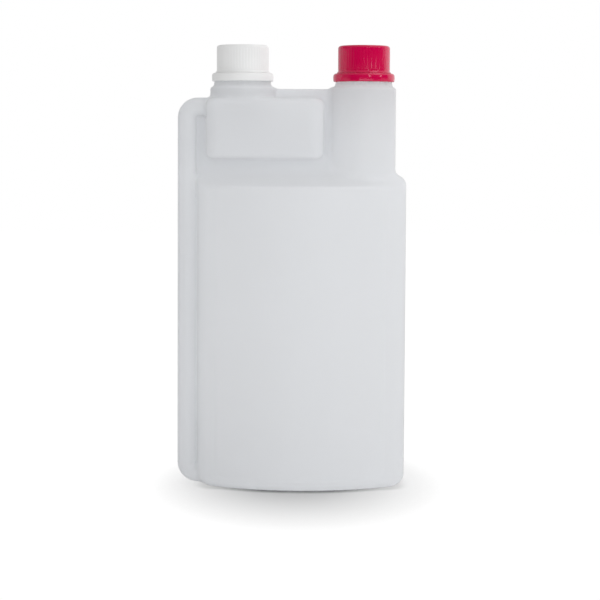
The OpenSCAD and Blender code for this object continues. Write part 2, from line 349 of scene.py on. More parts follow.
def outer_form(x, y, z):
    """Outside of the bottle up to the necks' collars."""
    body = body_form(x, np.abs(y) + panel_step(x, z), z, 0, 0)
    recess = np.maximum(body_plan(x, y) + BASE_R + BASE_RIM, z - BASE_RECESS)
    form = smooth_cut(body, -recess, RECESS_R)
    shoulder_web = slab(
        x, y, z, BODY_LEFT + WEB_START, MAIN_X,
        SHOULDER_H - WEB_SINK, CHAMBER_LOW + CHAMBER_R, WEB_EDGE,
    )
    form = smooth_union(form, shoulder_web, WEB_SWEEP)
    side_web = slab(
        x, y, z, TUBE_X, CHAMBER_LEFT + WEB_SINK,
        TUBE_FOOT + TUBE_W / 2, TUBE_TOP - TUBE_W / 2, WEB_EDGE,
    )
    mid_web = slab(x, y, z, DOSING_X, MAIN_X, CHAMBER_LOW, TOWER_TOP - WEB_DROP, MID_WEB_EDGE)
    tube = smooth_union(tube_form(x, y, z, 0, BASE_R), side_web, TUBE_SWEEP)
    form = smooth_union(form, tube, SEAM_SWEEP)
    form = smooth_union(form, mid_web, MID_WEB_SWEEP)
    form = smooth_union(form, chamber_form(x, y, z, 0), CHAMBER_SWEEP)
    dosing = tower_form(x, y, z, DOSING_X, 0, CHAMBER_LOW + CHAMBER_R)
    form = smooth_union(form, dosing, DOSING_TOWER_SWEEP)
    main = tower_form(x, y, z, MAIN_X, 0, SHOULDER_H - SHOULDER_R)
    form = smooth_union(form, main, MAIN_TOWER_SWEEP)
    for axis_x in (DOSING_X, MAIN_X):
        r = np.hypot(x - axis_x, y)
        collar = np.maximum(r - NECK_R, z - SEAT_Z + NECK_DROP)
        collar = np.maximum(collar, TOWER_TOP - NECK_SINK - z)
        form = smooth_union(form, collar, COLLAR_SWEEP)
    return np.maximum(form, -z)


def hollow_form(x, y, z):
    """Everything that is empty inside the bottle, with the bores run out above the lips."""
    form = body_form(x, y, z, WALL, BASE_RECESS + WALL)
    main = tower_form(x, y, z, MAIN_X, WALL, SHOULDER_H - SHOULDER_R - WALL)
    form = smooth_union(form, main, HOLLOW_TOWER_SWEEP)
    form = np.minimum(form, chamber_form(x, y, z, WALL))
    form = np.minimum(form, tube_form(x, y, z, WALL, BASE_R + WALL))
    form = np.minimum(form, tower_form(x, y, z, DOSING_X, WALL, CHAMBER_TOP - CHAMBER_R))
    for axis_x in (DOSING_X, MAIN_X):
        r = np.hypot(x - axis_x, y)
        ends = np.maximum(z - LIP_Z - MARGIN, TOWER_TOP - BORE_SINK - z)
        form = smooth_union(form, np.maximum(r - BORE_R, ends), BORE_SWEEP)
    return form


# Meshes

def grid_line(stops):
    """Grid places from a list of (place, step up to it), the first step being unused."""
    places = [stops[0][0]]
    for (start, _), (end, step) in zip(stops, stops[1:]):
        count = max(1, round((end - start) / step))
        places.extend(start + (end - start) * (i + 1) / count for i in range(count))
    return np.array(places)


def surface_net(field, grid):
    """Vertices and quads where the field is zero: one vertex in each grid cell that it crosses."""
    f = field(*np.meshgrid(*grid, indexing="ij"))
    inside = f < 0
    cells = tuple(n - 1 for n in f.shape)
    total = np.zeros(cells + (3,))
    count = np.zeros(cells)
    crossed = []
    for axis in range(3):
        lower = tuple(slice(None, -1) if k == axis else slice(None) for k in range(3))
        upper = tuple(slice(1, None) if k == axis else slice(None) for k in range(3))
        cross = inside[lower] != inside[upper]
        index = np.argwhere(cross)
        low_f, high_f = f[lower][cross], f[upper][cross]
        point = np.stack([grid[k][index[:, k]] for k in range(3)], 1)
        step = grid[axis][index[:, axis] + 1] - grid[axis][index[:, axis]]
        point[:, axis] += step * low_f / (low_f - high_f)
        a, b = (axis + 1) % 3, (axis + 2) % 3
        corners = []
        for da, db in ((0, 0), (1, 0), (1, 1), (0, 1)):
            cell = index.copy()
            cell[:, a] -= da
            cell[:, b] -= db
            place = tuple(cell.T)
            np.add.at(total, place, point)
            np.add.at(count, place, 1)
            corners.append(place)
        crossed.append((corners, inside[lower][cross]))
    used = count > 0
    number = np.zeros(cells, int)
    number[used] = np.arange(used.sum())
    vertices = total[used] / count[used][:, None]
    quads = []
    for corners, leaving in crossed:
        quad = np.stack([number[place] for place in corners], 1)
        quads.append(np.where(leaving[:, None], quad, quad[:, ::-1]))
    return settle(field, vertices), np.concatenate(quads)


def settle(field, points, rounds=4, reach=0.05, most=0.3, least_slope=0.5):
    """Moves each point onto the surface along the field's slope."""
    for _ in range(rounds):
        value = field(*points.T)
        slope = np.stack([
            (field(*(points + reach * unit).T) - field(*(points - reach * unit).T)) / (2 * reach)
            for unit in np.eye(3)
        ], 1)
        size = np.maximum(np.linalg.norm(slope, axis=1), least_slope)
        move = np.clip(value / size, -most, most)
        points = points - slope * (move / size)[:, None]
    return points


def new_object(name, vertices, faces):
    """A mesh object from vertices in millimetres."""
    mesh = bpy.data.meshes.new(name)
    mesh.from_pydata((np.asarray(vertices) * MM).tolist(), [], [list(map(int, f)) for f in faces])
    mesh.validate()
    obj = bpy.data.objects.new(name, mesh)
    bpy.context.scene.collection.objects.link(obj)
    return obj


def rounded_path(points, closed, arc_steps=4):
    """Corner points (r, z, fillet) become a path in which each corner with a fillet is an arc."""
    path = []
    n = len(points)
    for i, (r, z, fillet) in enumerate(points):
        here = Vector((r, z))
        if fillet == 0 or (not closed and i in (0, n - 1)):
            path.append(here)
            continue
        before = (Vector(points[i - 1][:2]) - here).normalized()
        after = (Vector(points[(i + 1) % n][:2]) - here).normalized()
        half = before.angle(after) / 2
        run = fillet / math.tan(half)
        start, end = here + before * run, here + after * run
        centre = here + (before + after).normalized() * (fillet / math.sin(half))
        for k in range(arc_steps + 1):
            spoke = (start - centre).lerp(end - centre, k / arc_steps)
            path.append(centre + spoke.normalized() * fillet)
    return [(p.x, p.y) for p in path]


def lathe(name, path, axis_x, segments, closed=False, radius=None):
    """Turns a path of (r, z) round an upright axis. radius gives each ring its own outline."""
    angles = np.arange(segments) * 2 * math.pi / segments
    vertices, rings = [], []
    for r, z in path:
        if r <= 0:
            rings.append([len(vertices)] * segments)
            vertices.append((axis_x, 0, z))
            continue
        rr = np.full(segments, r) if radius is None else radius(angles, r, z)
        rings.append(list(range(len(vertices), len(vertices) + segments)))
        vertices.extend(zip(axis_x + rr * np.cos(angles), rr * np.sin(angles), np.full(segments, z)))
    faces = []
    pairs = list(zip(rings, rings[1:])) + ([(rings[-1], rings[0])] if closed else [])
    for low, high in pairs:
        for i in range(segments):
            j = (i + 1) % segments
            face = [low[i], low[j], high[j], high[i]]
            faces.append(list(dict.fromkeys(face)))
    obj = new_object(name, vertices, faces)
    face_outwards(obj)
    return obj


def face_outwards(obj):
    bm = bmesh.new()
    bm.from_mesh(obj.data)
    bmesh.ops.recalc_face_normals(bm, faces=bm.faces)
    bm.to_mesh(obj.data)
    bm.free()


def thread_ridge(name, axis_x, start_z, foot_r, tip_r):
    """A screw thread's ridge along one right-hand helix, faded at both ends."""
    steps = round(TURNS * HELIX_STEPS)
    section = [
        (0, -RIDGE_FOOT),
        (RIDGE_FLANK, -RIDGE_TIP - RIDGE_BEVEL),
        (1, -RIDGE_TIP + RIDGE_BEVEL),
        (1, RIDGE_TIP - RIDGE_BEVEL),
        (RIDGE_FLANK, RIDGE_TIP + RIDGE_BEVEL),
        (0, RIDGE_FOOT),
    ]
    vertices = []
    for i in range(steps + 1):
        turn = i / HELIX_STEPS
        fade = min(1, FADE_LEAST + min(turn, TURNS - turn) / FADE_TURNS)
        a = turn * 2 * math.pi
        for share, dz in section:
            r = foot_r + (tip_r - foot_r) * share * fade
            vertices.append((axis_x + r * math.cos(a), r * math.sin(a), start_z + turn * PITCH + dz))
    n = len(section)
    faces = [list(range(n)), [steps * n + k for k in range(n)]]
    for i in range(steps):
        for k in range(n):
            here, past = i * n, (i + 1) * n
            beside = (k + 1) % n
            faces.append([here + k, here + beside, past + beside, past + k])
    obj = new_object(name, vertices, faces)
    face_outwards(obj)
    return obj


def combine(target, others, operation):
    """Adds the other closed meshes to the target, or cuts them from it, and deletes them."""
    for other in others:
        modifier = target.modifiers.new("combine", "BOOLEAN")
        modifier.solver = "MANIFOLD"
        modifier.operation = operation
        modifier.object = other
    bpy.context.view_layer.update()
    graph = bpy.context.evaluated_depsgraph_get()
    mesh = bpy.data.meshes.new_from_object(target.evaluated_get(graph))
    target.modifiers.clear()
    old = target.data
    target.data = mesh
    bpy.data.meshes.remove(old)
    mesh.name = target.name
    for other in others:
        mesh = other.data
        bpy.data.objects.remove(other)
        bpy.data.meshes.remove(mesh)


def mark_inside(obj, field, material, reach=0.1):
    """Gives the faces that line the hollow their own material."""
    obj.data.materials.append(material)
    centres = np.empty(3 * len(obj.data.polygons))
    obj.data.polygons.foreach_get("center", centres)
    lining = np.abs(field(*(centres.reshape(-1, 3) / MM).T)) < reach
    obj.data.polygons.foreach_set("material_index", lining.astype(np.int32))


def shade(obj, tiny=1e-6):
    """Smooth shading, with edges sharper than SHARP_DEG kept crisp and edges under tiny dissolved."""
    bm = bmesh.new()
    bm.from_mesh(obj.data)
    bmesh.ops.dissolve_degenerate(bm, dist=tiny, edges=bm.edges)
    limit = math.radians(SHARP_DEG)
    for face in bm.faces:
        face.smooth = True
    for edge in bm.edges:
        edge.smooth = len(edge.link_faces) == 2 and edge.calc_face_angle(0) < limit
    bm.to_mesh(obj.data)
    bm.free()


# Pieces

def neck_finish(name, axis_x):
    """Collar, tamper groove, bead and plain neck, solid to the axis; the hollow cuts the bore."""
    groove_top = SEAT_Z + GROOVE_H
    bead_top = groove_top + BEAD_H
    cone_top = bead_top + BEAD_CONE_H
    path = rounded_path([
        (0, SEAT_Z - COLLAR_LOW, 0),
        (COLLAR_R, SEAT_Z - COLLAR_LOW, 0),
        (COLLAR_R, SEAT_Z, COLLAR_FILLET),
        (GROOVE_R, SEAT_Z, 0),
        (GROOVE_R, groove_top, 0),
        (BEAD_R, groove_top, BEAD_LOW_FILLET),
        (BEAD_R, bead_top, BEAD_TOP_FILLET),
        (ROOT_R, cone_top, CONE_FILLET),
        (ROOT_R, LIP_Z, LIP_CHAMFER),
        (0, LIP_Z, 0),
    ], closed=False)
    neck = lathe(name, path, axis_x, NECK_SEGMENTS)
    ridge = thread_ridge(name + "_thread", axis_x, THREAD_Z, ROOT_R - RIDGE_SINK, ROOT_R + THREAD_H)
    return [neck, ridge]


def make_bottle():
    """The blown shell: its outside and both neck finishes, less its hollow."""
    across = [(LEFT_X - MARGIN, 0), (RIGHT_X + MARGIN, STEP)]
    deep = [(-BODY_D / 2 - MARGIN, 0), (BODY_D / 2 + MARGIN, STEP)]
    up = [(-MARGIN, 0), (FINE_LOW_TOP, STEP), (FINE_HIGH_LOW, LONG_STEP), (SEAT_Z + MARGIN, STEP)]
    grid = [grid_line(stops) for stops in (across, deep, up)]
    bottle = new_object("bottle_shell", *surface_net(outer_form, grid))
    up.append((LIP_Z + 2 * MARGIN, LONG_STEP))
    grid = [grid_line(stops) for stops in (across, deep, up)]
    hollow = new_object("hollow", *surface_net(hollow_form, grid))
    necks = neck_finish("dosing_neck", DOSING_X) + neck_finish("main_neck", MAIN_X)
    combine(bottle, necks, "UNION")
    combine(bottle, [hollow], "DIFFERENCE")
    shade(bottle)
    return bottle


def rib_outline(angles, r, z):
    """The cap's outline at a height: round on the foot and band, ribbed above them."""
    band_top = FOOT_Z + CAP_FOOT_H + BAND_H
    if r <= CAP_BORE_R + LIP_CHAMFER or z < band_top:
        return np.full(len(angles), r)
    wave = np.clip(0.5 + RIB_SWING * np.cos(RIB_N * angles), 0, 1)
    ribbed = CAP_R - RIB_H + RIB_H * wave
    return np.minimum(r, ribbed)


def make_cap(name, axis_x):
    """A screw cap: roof, bore with its thread, flared foot, plain band and ribbed wall."""
    band_top = FOOT_Z + CAP_FOOT_H + BAND_H
    path = rounded_path([
        (0, ROOF_Z, 0),
        (CAP_BORE_R, ROOF_Z, CAP_ROOF_FILLET),
        (CAP_BORE_R, FOOT_Z + LIP_CHAMFER, 0),
        (CAP_BORE_R + LIP_CHAMFER, FOOT_Z, CAP_RIM_FILLET),
        (FOOT_R, FOOT_Z, CAP_FOOT_FILLET),
        (FOOT_R, FOOT_Z + CAP_LIP_H, CAP_RIM_FILLET),
        (CAP_R, FOOT_Z + CAP_FOOT_H, CAP_FLARE_FILLET),
        (CAP_R, band_top, 0),
        (CAP_R, band_top + RIB_H, 0),
        (CAP_R, (band_top + CAP_TOP_Z) / 2, 0),
        (CAP_R, CAP_TOP_Z - CAP_EDGE_R - CAP_EDGE_GAP, 0),
        (CAP_R, CAP_TOP_Z, CAP_EDGE_R),
        (0, CAP_TOP_Z, 0),
    ], closed=False, arc_steps=CAP_ARC_STEPS)
    cap = lathe(name, path, axis_x, RIB_N * RIB_SAMPLES, radius=rib_outline)
    foot_r, tip_r = CAP_BORE_R + RIDGE_SINK, ROOT_R + THREAD_PLAY
    ridge = thread_ridge(name + "_thread", axis_x, THREAD_Z - PITCH / 2, foot_r, tip_r)
    combine(cap, [ridge], "UNION")
    shade(cap)
    return cap


def make_ring(name, axis_x):
    """A tamper ring with its inner lip, crowned side and torn bridges."""
    inner = BEAD_R + RING_PLAY
    lip_r = GROOVE_R + RING_PLAY
    top = FOOT_Z - RING_GAP
    path = rounded_path([
        (lip_r, SEAT_Z, RING_LIP_FILLET),
        (RING_R - RING_CHAMFER, SEAT_Z, RING_LOW_FILLET),
        (RING_R - RING_CROWN, SEAT_Z + RING_CHAMFER, RING_LOW_FILLET),
        (RING_R, (SEAT_Z + top) / 2, RING_SIDE_FILLET),
        (RING_R - RING_CROWN, top - RING_EDGE, RING_TOP_FILLET),
        (RING_R - RING_EDGE, top, RING_EDGE_FILLET),
        (inner, top, RING_INNER_FILLET),
        (inner, SEAT_Z + RING_LIP_H + RING_LIP_SLOPE, RING_INNER_FILLET),
        (lip_r, SEAT_Z + RING_LIP_H, RING_INNER_FILLET),
    ], closed=True)
    ring = lathe(name, path, axis_x, RING_SEGMENTS, closed=True)
    bridges = [torn_bridge(axis_x, inner, 2 * math.pi * i / BRIDGE_N) for i in range(BRIDGE_N)]
    combine(ring, bridges, "UNION")
    shade(ring)
    return ring


def torn_bridge(axis_x, inner, angle):
    """One torn bridge on the ring's upper edge, a small wedge under the cap's foot."""
    outer = FOOT_R
    low = FOOT_Z - RING_GAP - BRIDGE_SINK
    high = FOOT_Z - RING_GAP + BRIDGE_H
    half = BRIDGE_W / 2
    corners = []
    for z, shrink in ((low, 0), (high, BRIDGE_DRAFT)):
        near, far = inner + shrink, outer - shrink
        for r, side in ((near, -1), (far, -1), (far, 1), (near, 1)):
            w = side * (half - shrink)
            corners.append((
                axis_x + r * math.cos(angle) - w * math.sin(angle),
                r * math.sin(angle) + w * math.cos(angle),
                z,
            ))
    faces = [(3, 2, 1, 0), (4, 5, 6, 7)]
    faces += [(k, (k + 1) % 4, (k + 1) % 4 + 4, k + 4) for k in range(4)]
    return new_object("bridge", corners, faces)


# Materials: colours are (dark, light), noise scales are per metre, bump heights are in millimetres

HDPE_BACK = (0.91, 0.918, 0.93), (0.94, 0.947, 0.96)
HDPE_THROUGH = (0.96, 0.967, 0.978), (0.97, 0.977, 0.988)
HDPE_CLEAR = 0.62
LINING_CLEAR = 0.9
CLEAR_SPREAD = 0.03
HDPE_ROUGH = 0.6
LINING_ROUGH = 0.5
HDPE_IOR = 1.45
SKIN_ROUGH = (0.30, 0.40)
WAVE_SCALE = 22
WAVE_BUMP = (1.0, 0.25)
STREAK_SCALE = 260
STREAK_STRETCH = (1, 1, 0.04)
GRAIN_SCALE = 1500
GRAIN_BUMP = (0.02, 0.35)
PARTING_FOOT = 0.25
PARTING_TOP = 0.05
PARTING_BUMP = (0.06, 1.0)

WHITE_PP = (0.87, 0.87, 0.865), (0.90, 0.90, 0.895)
WHITE_ROUGH = 0.3
WHITE_SPECULAR = 0.4
CRIMSON_PP = (0.58, 0.0002, 0.06), (0.64, 0.0004, 0.07)
CRIMSON_ROUGH = 0.09
CRIMSON_SPECULAR = 0.5
CAP_IOR = 1.49
CAP_ROUGH_SPREAD = (-0.03, 0.05)
FLOW_SCALE = 60
FLOW_BUMP = (0.15, 0.2)
CAP_GRAIN_SCALE = 2600
CAP_GRAIN_BUMP = (0.01, 0.3)

FOAM = (0.80, 0.80, 0.77), (0.87, 0.87, 0.85)
FOAM_ROUGH = 0.7
FOAM_SCALE = 120
CELL_SCALE = 1800
CELL_BUMP = (0.05, 0.5)

NOISE_DETAIL = 2
NOISE_RANGE = (0.3, 0.7)


def mix_by(tree, share, first, second):
    mix = tree.nodes.new("ShaderNodeMixShader")
    tree.links.new(share, mix.inputs[0])
    tree.links.new(first, mix.inputs[1])
    tree.links.new(second, mix.inputs[2])
    return mix.outputs[0]


def smooth_range(tree, value, start, end):
    node = tree.nodes.new("ShaderNodeMapRange")
    node.interpolation_type = "SMOOTHSTEP"
    node.inputs["From Min"].default_value = start
    node.inputs["From Max"].default_value = end
    tree.links.new(value, node.inputs["Value"])
    return node.outputs["Result"]


def calculate(tree, operation, *values):
    node = tree.nodes.new("ShaderNodeMath")
    node.operation = operation
    for socket, value in zip(node.inputs, values):
        if isinstance(value, (int, float)):
            socket.default_value = value
        else:
            tree.links.new(value, socket)
    return node.outputs["Value"]


def length_of(tree, x, y):
    squares = calculate(tree, "MULTIPLY_ADD", x, x, calculate(tree, "MULTIPLY", y, y))
    return calculate(tree, "SQRT", squares)


def principled(name):
    material = bpy.data.materials.new(name)
    material.use_nodes = True
    return material, material.node_tree, material.node_tree.nodes["Principled BSDF"]


def add_noise(tree, place, scale, stretch=(1, 1, 1)):
    mapping = tree.nodes.new("ShaderNodeMapping")
    mapping.inputs["Scale"].default_value = stretch
    tree.links.new(place, mapping.inputs["Vector"])
    noise = tree.nodes.new("ShaderNodeTexNoise")
    noise.inputs["Scale"].default_value = scale
    noise.inputs["Detail"].default_value = NOISE_DETAIL
    tree.links.new(mapping.outputs["Vector"], noise.inputs["Vector"])
    return noise.outputs["Fac"]


def spread(tree, value, low, high):
    """Maps a noise value onto the range from low to high."""
    node = tree.nodes.new("ShaderNodeMapRange")
    node.inputs["From Min"].default_value = NOISE_RANGE[0]
    node.inputs["From Max"].default_value = NOISE_RANGE[1]
    node.inputs["To Min"].default_value = low
    node.inputs["To Max"].default_value = high
    tree.links.new(value, node.inputs["Value"])
    return node.outputs["Result"]


def tint(tree, value, dark, light):
    """A colour between dark and light."""
    node = tree.nodes.new("ShaderNodeMix")
    node.data_type = "RGBA"
    node.inputs[6].default_value = (*dark, 1)
    node.inputs[7].default_value = (*light, 1)
    tree.links.new(value, node.inputs[0])
    return node.outputs[2]


def bump(tree, height, distance_mm, strength, below=None):
    node = tree.nodes.new("ShaderNodeBump")
    node.inputs["Distance"].default_value = distance_mm * MM
    node.inputs["Strength"].default_value = strength
    tree.links.new(height, node.inputs["Height"])
    if below is not None:
        tree.links.new(below, node.inputs["Normal"])
    return node.outputs["Normal"]


def object_place(tree):
    return tree.nodes.new("ShaderNodeTexCoord").outputs["Object"]


def hdpe_material():
    """Natural HDPE: satin and milky, lets much light through spread out, with waves of the blown wall."""
    material, tree, shader = principled("natural_hdpe")
    place = object_place(tree)
    cloud = add_noise(tree, place, WAVE_SCALE)
    streak = add_noise(tree, place, STREAK_SCALE, STREAK_STRETCH)
    grain = add_noise(tree, place, GRAIN_SCALE)
    normal = bump(tree, cloud, *WAVE_BUMP)
    normal = bump(tree, grain, *GRAIN_BUMP, normal)
    normal = bump(tree, parting_line(tree, place), *PARTING_BUMP, normal)
    shared = spread(tree, cloud, 0, 1)

    # Light that the wall throws back
    tree.links.new(tint(tree, shared, *HDPE_BACK), shader.inputs["Base Color"])
    tree.links.new(normal, shader.inputs["Normal"])
    shader.inputs["Specular IOR Level"].default_value = 0
    shader.inputs["Roughness"].default_value = HDPE_ROUGH

    # Light that comes through the wall
    through = tree.nodes.new("ShaderNodeBsdfTranslucent")
    tree.links.new(tint(tree, shared, *HDPE_THROUGH), through.inputs["Color"])
    tree.links.new(normal, through.inputs["Normal"])
    share = spread(tree, cloud, HDPE_CLEAR - CLEAR_SPREAD, HDPE_CLEAR + CLEAR_SPREAD)
    milk = mix_by(tree, share, shader.outputs[0], through.outputs[0])

    # Satin skin, seen from outside only
    skin = tree.nodes.new("ShaderNodeBsdfGlossy")
    tree.links.new(spread(tree, streak, *SKIN_ROUGH), skin.inputs["Roughness"])
    tree.links.new(normal, skin.inputs["Normal"])
    fresnel = tree.nodes.new("ShaderNodeFresnel")
    fresnel.inputs["IOR"].default_value = HDPE_IOR
    tree.links.new(normal, fresnel.inputs["Normal"])
    inside = tree.nodes.new("ShaderNodeNewGeometry").outputs["Backfacing"]
    gloss = calculate(tree, "MULTIPLY", fresnel.outputs[0], calculate(tree, "SUBTRACT", 1.0, inside))
    whole = mix_by(tree, gloss, milk, skin.outputs[0])
    tree.links.new(whole, tree.nodes["Material Output"].inputs["Surface"])
    return material


def lining_material():
    """The wall's inner face: the milkiness lies in the outer face, so this one is nearly clear."""
    material, tree, shader = principled("natural_hdpe_lining")
    place = object_place(tree)
    cloud = add_noise(tree, place, WAVE_SCALE)
    tree.links.new(tint(tree, spread(tree, cloud, 0, 1), *HDPE_BACK), shader.inputs["Base Color"])
    tree.links.new(bump(tree, cloud, *WAVE_BUMP), shader.inputs["Normal"])
    shader.inputs["Roughness"].default_value = LINING_ROUGH
    clear = tree.nodes.new("ShaderNodeBsdfTransparent")
    share = spread(tree, cloud, LINING_CLEAR - CLEAR_SPREAD, LINING_CLEAR + CLEAR_SPREAD)
    whole = mix_by(tree, share, shader.outputs[0], clear.outputs[0])
    tree.links.new(whole, tree.nodes["Material Output"].inputs["Surface"])
    return material


def parting_line(tree, place):
    """A fine raised line where the mould halves met, at y = 0."""
    axes = tree.nodes.new("ShaderNodeSeparateXYZ")
    tree.links.new(place, axes.inputs["Vector"])
    away = calculate(tree, "ABSOLUTE", axes.outputs["Y"])
    return smooth_range(tree, away, PARTING_FOOT * MM, PARTING_TOP * MM)


def cap_material(name, dark, light, roughness, specular):
    """Moulded polypropylene: an even colour with a fine grain and faint flow marks."""
    material, tree, shader = principled(name)
    place = object_place(tree)
    cloud = add_noise(tree, place, FLOW_SCALE)
    grain = add_noise(tree, place, CAP_GRAIN_SCALE)
    tree.links.new(tint(tree, spread(tree, cloud, 0, 1), dark, light), shader.inputs["Base Color"])
    smoothest, roughest = (roughness + change for change in CAP_ROUGH_SPREAD)
    tree.links.new(spread(tree, cloud, smoothest, roughest), shader.inputs["Roughness"])
    normal = bump(tree, cloud, *FLOW_BUMP)
    normal = bump(tree, grain, *CAP_GRAIN_BUMP, normal)
    tree.links.new(normal, shader.inputs["Normal"])
    shader.inputs["IOR"].default_value = CAP_IOR
    shader.inputs["Specular IOR Level"].default_value = specular
    return material


def foam_material():
    """Foamed polyethylene disc: matt, with a fine cell pattern."""
    material, tree, shader = principled("liner_foam")
    place = object_place(tree)
    cells = tree.nodes.new("ShaderNodeTexVoronoi")
    cells.inputs["Scale"].default_value = CELL_SCALE
    tree.links.new(place, cells.inputs["Vector"])
    cloud = add_noise(tree, place, FOAM_SCALE)
    tree.links.new(tint(tree, spread(tree, cloud, 0, 1), *FOAM), shader.inputs["Base Color"])
    tree.links.new(bump(tree, cells.outputs["Distance"], *CELL_BUMP), shader.inputs["Normal"])
    shader.inputs["Roughness"].default_value = FOAM_ROUGH
    return material


# Build

hdpe = hdpe_material()
lining = lining_material()
white_pp = cap_material("white_pp", *WHITE_PP, WHITE_ROUGH, WHITE_SPECULAR)
crimson_pp = cap_material("crimson_pp", *CRIMSON_PP, CRIMSON_ROUGH, CRIMSON_SPECULAR)
foam = foam_material()


def dress(piece, material, body, node):
    """Gives a piece its material and slot, and puts it on its body in place of its CAD node."""
    piece.data.materials.clear()
    piece.data.materials.append(material)
    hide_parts(node)
    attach(piece, body)


bottle = make_bottle()
dress(bottle, hdpe, "bottle", "bottle")
mark_inside(bottle, hollow_form, lining)
dress(make_cap("dosing_cap_skin", DOSING_X), white_pp, "dosing_cap", "dosing_cap")
dress(make_cap("main_cap_skin", MAIN_X), crimson_pp, "main_cap", "main_cap")
dress(make_ring("dosing_ring_skin", DOSING_X), white_pp, "bottle", "dosing_tamper_ring")
dress(make_ring("main_ring_skin", MAIN_X), crimson_pp, "bottle", "main_tamper_ring")
for liner in ("dosing_cap_liner", "main_cap_liner"):
    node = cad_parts[liner]
    node.data.materials.clear()
    node.data.materials.append(foam)


# Stage: white floor with a soft shadow, white surround, soft studio light

# Camera that was fitted to the outline, with its angles in degrees
IMAGE_PX = 600
SENSOR_MM = 36.0
CAMERA_PLACE = (4.77, -1074.4, 180.15)
CAMERA_PITCH = 4.393
CAMERA_YAW = 0.008
CAMERA_ROLL = 0.307
CAMERA_FOCAL_PX = 2031.95

# Light of the room, and the ranges of direction over which its dark front starts and ends
ROOM_LEFT = 0.66
ROOM_RIGHT = 1.2
ROOM_TOP = 0.6
ROOM_DARK = 0.02
ROOM_PANEL = 0.4
ROOM_LEFT_PANEL = (-0.7, -0.95)
ROOM_PANEL_END = (0.05, 0.25)
ROOM_DARK_TURN = -7
ROOM_DARK_SIDE = (-0.4, -0.2)
ROOM_DARK_TOP = (0.5, 0.25)

# Floor: what it throws back at the bottle, and what the camera sees of it
FLOOR_REACH = (3000, 900, 3000)
FLOOR_THROWS = (0.94, 0.94, 0.94), (0.96, 0.96, 0.96)
FLOOR_SCALE = 40
FLOOR_ROUGH = 0.9
FLOOR_WHITE = 1.02
FLOOR_SEEN = 0.76

# Shadow that the camera sees: its middle, half its width and depth, and the share over which it fades
SHADOW_MID = 4
SHADOW_X = 78
SHADOW_Y = 140
SHADOW_FADE = (0.31, 1.0)

# Painted shade in the crevice under the base edge, on the floor that the camera sees: how far outside the
# body's outline its dark starts and is full, and its level there
PAINTED_CREVICE_SHADE = (3.5, -4.0)
PAINTED_CREVICE_LEVEL = 0.45

# Lamps: name, place, aim, size, power in watts, colour
WHITE = (1, 1, 1)
COOL = (0.86, 0.93, 1.0)
MIDDLE = (0, 0, 120)
LAMPS = (
    ("key_near", (466, -1214, 589), MIDDLE, (160, 500), 0.8, WHITE),
    ("key_far", (1178, -549, 589), MIDDLE, (160, 500), 0.75, WHITE),
    ("top", (300, 150, 1000), MIDDLE, (600, 350), 0.8, WHITE),
    ("low_front", (150, -900, 40), (0, 0, 60), (900, 60), 0.5, COOL),
)


def make_world():
    """Plain white for the camera, and for all else a pale room that is brighter at the right.

    Gloss sees a dark front in that room, with a dim panel at its left.
    """
    world = bpy.data.worlds.new("studio")
    world.use_nodes = True
    bpy.context.scene.world = world
    tree = world.node_tree
    lit = tree.nodes["Background"]
    lit.inputs["Color"].default_value = (1, 1, 1, 1)
    way = tree.nodes.new("ShaderNodeSeparateXYZ")
    place = tree.nodes.new("ShaderNodeTexCoord")
    tree.links.new(place.outputs["Generated"], way.inputs["Vector"])
    light_path = tree.nodes.new("ShaderNodeLightPath")

    right = smooth_range(tree, way.outputs["X"], -1.0, 1.0)
    side = calculate(tree, "MULTIPLY_ADD", right, ROOM_RIGHT - ROOM_LEFT, ROOM_LEFT)
    above = smooth_range(tree, way.outputs["Z"], 0.0, 1.0)
    height = calculate(tree, "MULTIPLY_ADD", above, ROOM_TOP - 1, 1)
    room = calculate(tree, "MULTIPLY", side, height)

    turn = math.radians(ROOM_DARK_TURN)
    ahead = calculate(tree, "MULTIPLY", way.outputs["Y"], -math.cos(turn))
    ahead = calculate(tree, "MULTIPLY_ADD", way.outputs["X"], math.sin(turn), ahead)
    dark = smooth_range(tree, ahead, *ROOM_DARK_SIDE)
    low = smooth_range(tree, way.outputs["Z"], *ROOM_DARK_TOP)
    dark = calculate(tree, "MULTIPLY", dark, low)
    dark = calculate(tree, "MULTIPLY", dark, light_path.outputs["Is Glossy Ray"])
    left = smooth_range(tree, way.outputs["X"], *ROOM_LEFT_PANEL)
    left = calculate(tree, "MULTIPLY", left, smooth_range(tree, ahead, *ROOM_PANEL_END))
    dim = calculate(tree, "MULTIPLY_ADD", left, ROOM_PANEL - ROOM_DARK, ROOM_DARK)
    level = calculate(tree, "MULTIPLY_ADD", dark, calculate(tree, "SUBTRACT", dim, 1.0), 1)
    tree.links.new(calculate(tree, "MULTIPLY", room, level), lit.inputs["Strength"])

    seen = tree.nodes.new("ShaderNodeBackground")
    seen.inputs["Color"].default_value = (1, 1, 1, 1)
    seen.inputs["Strength"].default_value = 1
    white = mix_by(tree, light_path.outputs["Is Camera Ray"], lit.outputs[0], seen.outputs[0])
    tree.links.new(white, tree.nodes["World Output"].inputs["Surface"])


